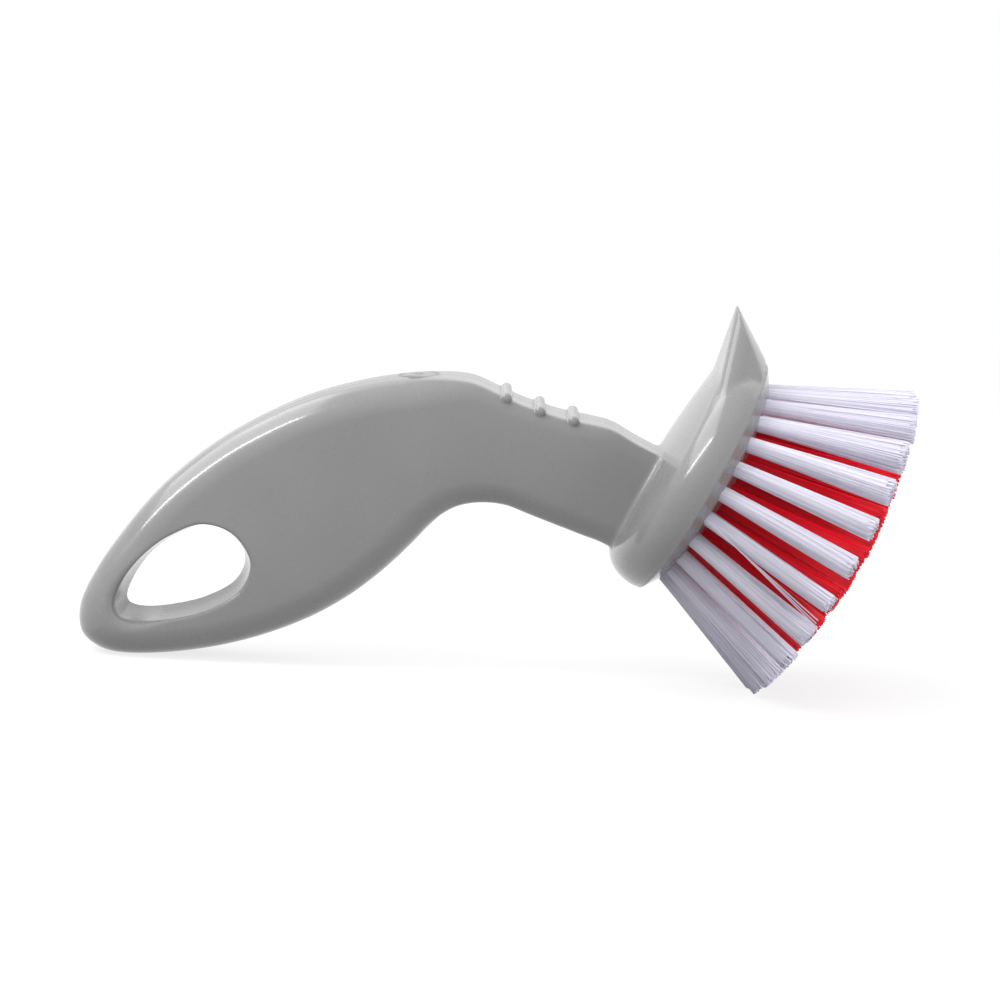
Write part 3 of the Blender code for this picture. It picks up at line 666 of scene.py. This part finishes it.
plastic = {
    "dark": (0.192, 0.192, 0.192), "light": (0.212, 0.212, 0.213), "cloudScale": 38.0, "cloud": (0.3, 0.7),
    "roughLow": 0.24, "roughHigh": 0.34, "smearScale": 160.0, "smearMix": 0.65, "smear": (0.35, 0.7),
    "peelScale": 400.0, "peel": 0.012, "peelDepth": 0.0004,
    "seamWidth": 0.00016, "seamHeight": 0.10, "seamShade": 0.78, "seamPress": 0.8,
    "gateX": 75.0, "gateZ": 61.0, "gateRadius": 5.0, "gateHeight": 0.5,
    "gateDish": [(0.0, 1.0), (0.16, 0.9), (0.24, 0.25), (0.80, 0.2), (0.90, 1.0), (1.0, 0.7)],
    # the gate mark's colour is painted shade: darker rings where the dish slopes
    "gateSlopeShade": [(0.0, 1.0), (0.22, 0.3), (0.5, 0.8), (0.82, 0.3), (1.0, 1.0)],
    "sockets": {"IOR": 1.5, "Specular IOR Level": 0.3, "Coat Weight": 0.7, "Coat Roughness": 0.11},
}


def makePlastic():
    # two close greys in soft clouds, roughness in smears, painted shade on the gate mark's slopes, and bumps laid on
    # each other: seam, gate mark, skin
    material, tree, shader = newMaterial("glossy_grey_plastic")
    place = addNode(tree, "ShaderNodeTexCoord").outputs["Object"]
    cloud = noise(tree, place, plastic["cloudScale"], 3.0)
    colour = ramped(tree, cloud, list(zip(plastic["cloud"], (plastic["dark"], plastic["light"]))))
    # handling has left the gloss uneven
    rough = addNode(tree, "ShaderNodeMapRange", {
        "Value": noise(tree, place, plastic["smearScale"], 5.0, Roughness=plastic["smearMix"]),
        "From Min": plastic["smear"][0], "From Max": plastic["smear"][1],
        "To Min": plastic["roughLow"], "To Max": plastic["roughHigh"]})
    tree.links.new(rough.outputs["Result"], shader.inputs["Roughness"])
    # a fine seam where the mould's halves met, on the plane y = 0
    side = addNode(tree, "ShaderNodeSeparateXYZ", {"Vector": place}).outputs["Y"]
    away = addNode(tree, "ShaderNodeMath", {0: side}, operation="ABSOLUTE")
    seam = addNode(tree, "ShaderNodeMapRange", {
        "Value": away.outputs[0], "From Min": 0.0, "From Max": plastic["seamWidth"], "To Min": 1.0, "To Max": 0.0},
        interpolation_type="SMOOTHSTEP").outputs["Result"]
    lined = multiplied(tree, colour, ramped(tree, seam, [(0.0, 1.0), (1.0, plastic["seamShade"])]))
    # the round gate mark on top of the arch: a dished ring about a small nub, its slopes darkened in the colour as
    # painted shade
    gate = laid(np.array([plastic["gateX"], 0.0, plastic["gateZ"]]))
    fromGate = addNode(tree, "ShaderNodeVectorMath", {0: place, 1: tuple(gate)}, operation="DISTANCE")
    ring = addNode(tree, "ShaderNodeMapRange", {
        "Value": fromGate.outputs["Value"], "From Max": plastic["gateRadius"] * mm}).outputs["Result"]
    shadedAtGate = multiplied(tree, lined, ramped(tree, ring, plastic["gateSlopeShade"]))
    tree.links.new(shadedAtGate, shader.inputs["Base Color"])
    ridge = addNode(tree, "ShaderNodeBump", {
        "Strength": plastic["seamPress"], "Distance": plastic["seamHeight"] * mm, "Height": seam})
    pressed = addNode(tree, "ShaderNodeBump", {
        "Strength": 1.0, "Distance": plastic["gateHeight"] * mm, "Height": ramped(tree, ring, plastic["gateDish"]),
        "Normal": ridge.outputs["Normal"]})
    skin = addNode(tree, "ShaderNodeBump", {
        "Strength": plastic["peel"], "Distance": plastic["peelDepth"],
        "Height": noise(tree, place, plastic["peelScale"], 2.0), "Normal": pressed.outputs["Normal"]})
    tree.links.new(skin.outputs["Normal"], shader.inputs["Normal"])
    tree.links.new(pressed.outputs["Normal"], shader.inputs["Coat Normal"])
    setSockets(shader, plastic["sockets"])
    return material


bristle = {
    "white": ((0.60, 0.58, 0.715), (0.75, 0.73, 0.865)), "red": ((0.70, 0.004, 0.012), (0.88, 0.008, 0.024)),
    "quickTo": 0.25, "quickShare": 0.65,  # the tone is most of the way to the light one this early
    "rootShadeStops": [(0.0, 0.92), (0.16, 0.97), (0.5, 1.0)],  # painted shade: darker near the root, where the filaments crowd into the bed
    "grainScale": 1400.0, "roughLow": 0.24, "roughHigh": 0.46,
    "sockets": {
        "IOR": 1.53, "Specular IOR Level": 0.25,
        "Subsurface Weight": 0.5, "Subsurface Radius": (1.0, 1.0, 1.0), "Subsurface Scale": 0.0003},
}


def makeBristle(name, dark, light):
    # each filament has its own tone in the UV map, u across the tones and v along its length, which darkens it
    # towards the root as painted shade
    material, tree, shader = newMaterial(name)
    layer = addNode(tree, "ShaderNodeUVMap", uv_map="strand").outputs["UV"]
    parts = addNode(tree, "ShaderNodeSeparateXYZ", {"Vector": layer})
    part = bristle["quickShare"]
    between = tuple((1 - part) * d + part * l for d, l in zip(dark, light))
    colour = ramped(tree, parts.outputs["X"], [(0.0, dark), (bristle["quickTo"], between), (1.0, light)])
    shade = ramped(tree, parts.outputs["Y"], bristle["rootShadeStops"])
    tree.links.new(multiplied(tree, colour, shade), shader.inputs["Base Color"])
    place = addNode(tree, "ShaderNodeTexCoord").outputs["Object"]
    rough = addNode(tree, "ShaderNodeMapRange", {
        "Value": noise(tree, place, bristle["grainScale"], 2.0),
        "To Min": bristle["roughLow"], "To Max": bristle["roughHigh"]})
    tree.links.new(rough.outputs["Result"], shader.inputs["Roughness"])
    setSockets(shader, bristle["sockets"])
    return material


moulding.data.materials.append(makePlastic())
whiteNylon = makeBristle("white_nylon_filament", *bristle["white"])
redNylon = makeBristle("red_nylon_filament", *bristle["red"])
for tuft in tufts:
    tuft.data.materials.append(whiteNylon if tuft.name.startswith("white") else redNylon)
print("materials made")

# Studio: pale floor, soft lamps and a camera at the photograph's angle
studio = {
    "floorSize": 6.0, "floorColour": (0.32, 0.32, 0.325), "floorGrain": 30.0, "grain": (0.4, 0.6), "grainStep": 0.005,
    "paper": (0.97, 0.97, 0.98), "floorGlow": 0.78, "glowFrom": 0.18, "glowTo": 0.6, "worldLight": 0.37,
    "lamps": [  # name, place, aimed at, size, roll in degrees, watts, whether gloss shows it
        ("sky_softbox", (0.10, 0.75, 1.00), (0.0, 0.0, 0.03), (2.2, 1.0), 0, 5.6, True),
        ("top_softbox", (0.00, -0.20, 1.10), (0.0, 0.0, 0.03), (1.0, 0.7), 0, 4.5, False),
        ("left_high_softbox", (-0.80, 0.12, 0.87), (0.0, 0.0, 0.03), (1.25, 0.7), 0, 8.0, True),
        ("front_high_softbox", (-0.60, -0.62, 0.85), (0.0, 0.0, 0.03), (0.9, 0.5), 0, 3.6, False),
        ("edge_strip", (-0.84, -0.31, 0.76), (0.0, 0.0, 0.03), (0.66, 0.08), 60, 3.6, True),
        ("right_softbox", (1.30, -0.52, 0.40), (0.0, 0.0, 0.04), (0.9, 0.9), 0, 13.0, False),
        ("left_softbox", (-0.90, -1.00, 0.40), (0.0, 0.0, 0.04), (0.9, 0.9), 0, 5.6, False)],
}


def seenDirectly(tree):
    # 1 for rays from the camera, from gloss and through clear things: the greatest of the three
    path = addNode(tree, "ShaderNodeLightPath")
    seen = path.outputs["Is Camera Ray"]
    for ray in ("Is Glossy Ray", "Is Transmission Ray"):
        seen = addNode(tree, "ShaderNodeMath", {0: seen, 1: path.outputs[ray]}, operation="MAXIMUM").outputs[0]
    return seen


def makeFloor():
    # a square that glows white to the eye, fully far from the brush and less near it, where its shadow shows
    half = studio["floorSize"] / 2
    corners = np.array([(-half, -half, 0), (half, -half, 0), (half, half, 0), (-half, half, 0)], float)
    floor = meshObject("floor", corners, np.arange(4), 4)
    material, tree, shader = newMaterial("pale_floor")
    place = addNode(tree, "ShaderNodeTexCoord").outputs["Object"]
    grain = noise(tree, place, studio["floorGrain"], 2.0)
    paler = tuple(c + studio["grainStep"] for c in studio["floorColour"])
    colour = ramped(tree, grain, list(zip(studio["grain"], (studio["floorColour"], paler))))
    inputs = {0: seenDirectly(tree), 6: colour, 7: (*studio["paper"], 1.0)}
    seen = addNode(tree, "ShaderNodeMix", inputs, data_type="RGBA")
    tree.links.new(seen.outputs[2], shader.inputs["Base Color"])
    setSockets(shader, {"Roughness": 0.9, "Specular IOR Level": 0.0})
    glow = addNode(tree, "ShaderNodeEmission", {"Color": (1, 1, 1, 1), "Strength": 1.0})
    away = addNode(tree, "ShaderNodeVectorMath", {0: place}, operation="LENGTH")
    far = addNode(tree, "ShaderNodeMapRange", {
        "Value": away.outputs["Value"], "From Min": studio["glowFrom"], "From Max": studio["glowTo"],
        "To Min": studio["floorGlow"], "To Max": 1.0}, interpolation_type="SMOOTHSTEP")
    inputs = {0: seenDirectly(tree), 1: far.outputs["Result"]}
    share = addNode(tree, "ShaderNodeMath", inputs, operation="MULTIPLY")
    mix = addNode(tree, "ShaderNodeMixShader", {0: share.outputs[0], 1: shader.outputs[0], 2: glow.outputs[0]})
    tree.links.new(mix.outputs[0], tree.nodes["Material Output"].inputs["Surface"])
    floor.data.materials.append(material)


def makeWorld():
    # white to the eye, and a plain soft light of the given strength to everything else
    world = bpy.data.worlds.new("studio")
    bpy.context.scene.world = world
    world.use_nodes = True
    tree = world.node_tree
    background = tree.nodes["Background"]
    background.inputs["Color"].default_value = (1, 1, 1, 1)
    strength = addNode(tree, "ShaderNodeMapRange", {
        "Value": seenDirectly(tree), "To Min": studio["worldLight"], "To Max": 1.0})
    tree.links.new(strength.outputs["Result"], background.inputs["Strength"])


def aimed(place, target, roll):
    # the lamp's own z axis points away from the target, and the lamp is rolled about it
    facing = (Vector(target) - Vector(place)).to_track_quat("-Z", "Y")
    return (facing @ Quaternion((0, 0, 1), np.radians(roll))).to_euler()


def makeLamps():
    # one rectangle for each row of the list
    for name, place, target, size, roll, watts, inGloss in studio["lamps"]:
        lamp = bpy.data.lights.new(name, "AREA")
        lamp.shape = "RECTANGLE"
        lamp.size, lamp.size_y = size
        lamp.energy = watts
        thing = bpy.data.objects.new(name, lamp)
        thing.location = place
        thing.rotation_euler = aimed(place, target, roll)
        thing.visible_glossy = inGloss
        bpy.context.scene.collection.objects.link(thing)


camera = {
    "elevation": np.radians(10), "distance": 1000.0, "target": np.array([92.667, 0.0, 33.55]),
    "across": 220.0, "sensor": 36.0, "sees": 20.0,
}


def makeCamera():
    # lens / sensor = distance / width across; the photograph was taken with the heel level,
    # so the camera is laid down with the brush
    data = bpy.data.cameras.new("camera")
    data.sensor_width = camera["sensor"]
    data.lens = camera["sensor"] * camera["distance"] / camera["across"]
    data.clip_end = camera["sees"]
    thing = bpy.data.objects.new("camera", data)
    away = np.array([0.0, -np.cos(camera["elevation"]), np.sin(camera["elevation"])]) * camera["distance"]
    place = laid(camera["target"] + away)
    turn = Matrix.Rotation(layDown["turn"], 4, "Y") @ Matrix.Rotation(np.pi / 2 - camera["elevation"], 4, "X")
    thing.matrix_world = Matrix.Translation(place) @ turn
    bpy.context.scene.collection.objects.link(thing)
    bpy.context.scene.camera = thing


makeFloor()
makeWorld()
makeLamps()
makeCamera()
bpy.context.scene.view_settings.view_transform = "Standard"
print("studio ready")
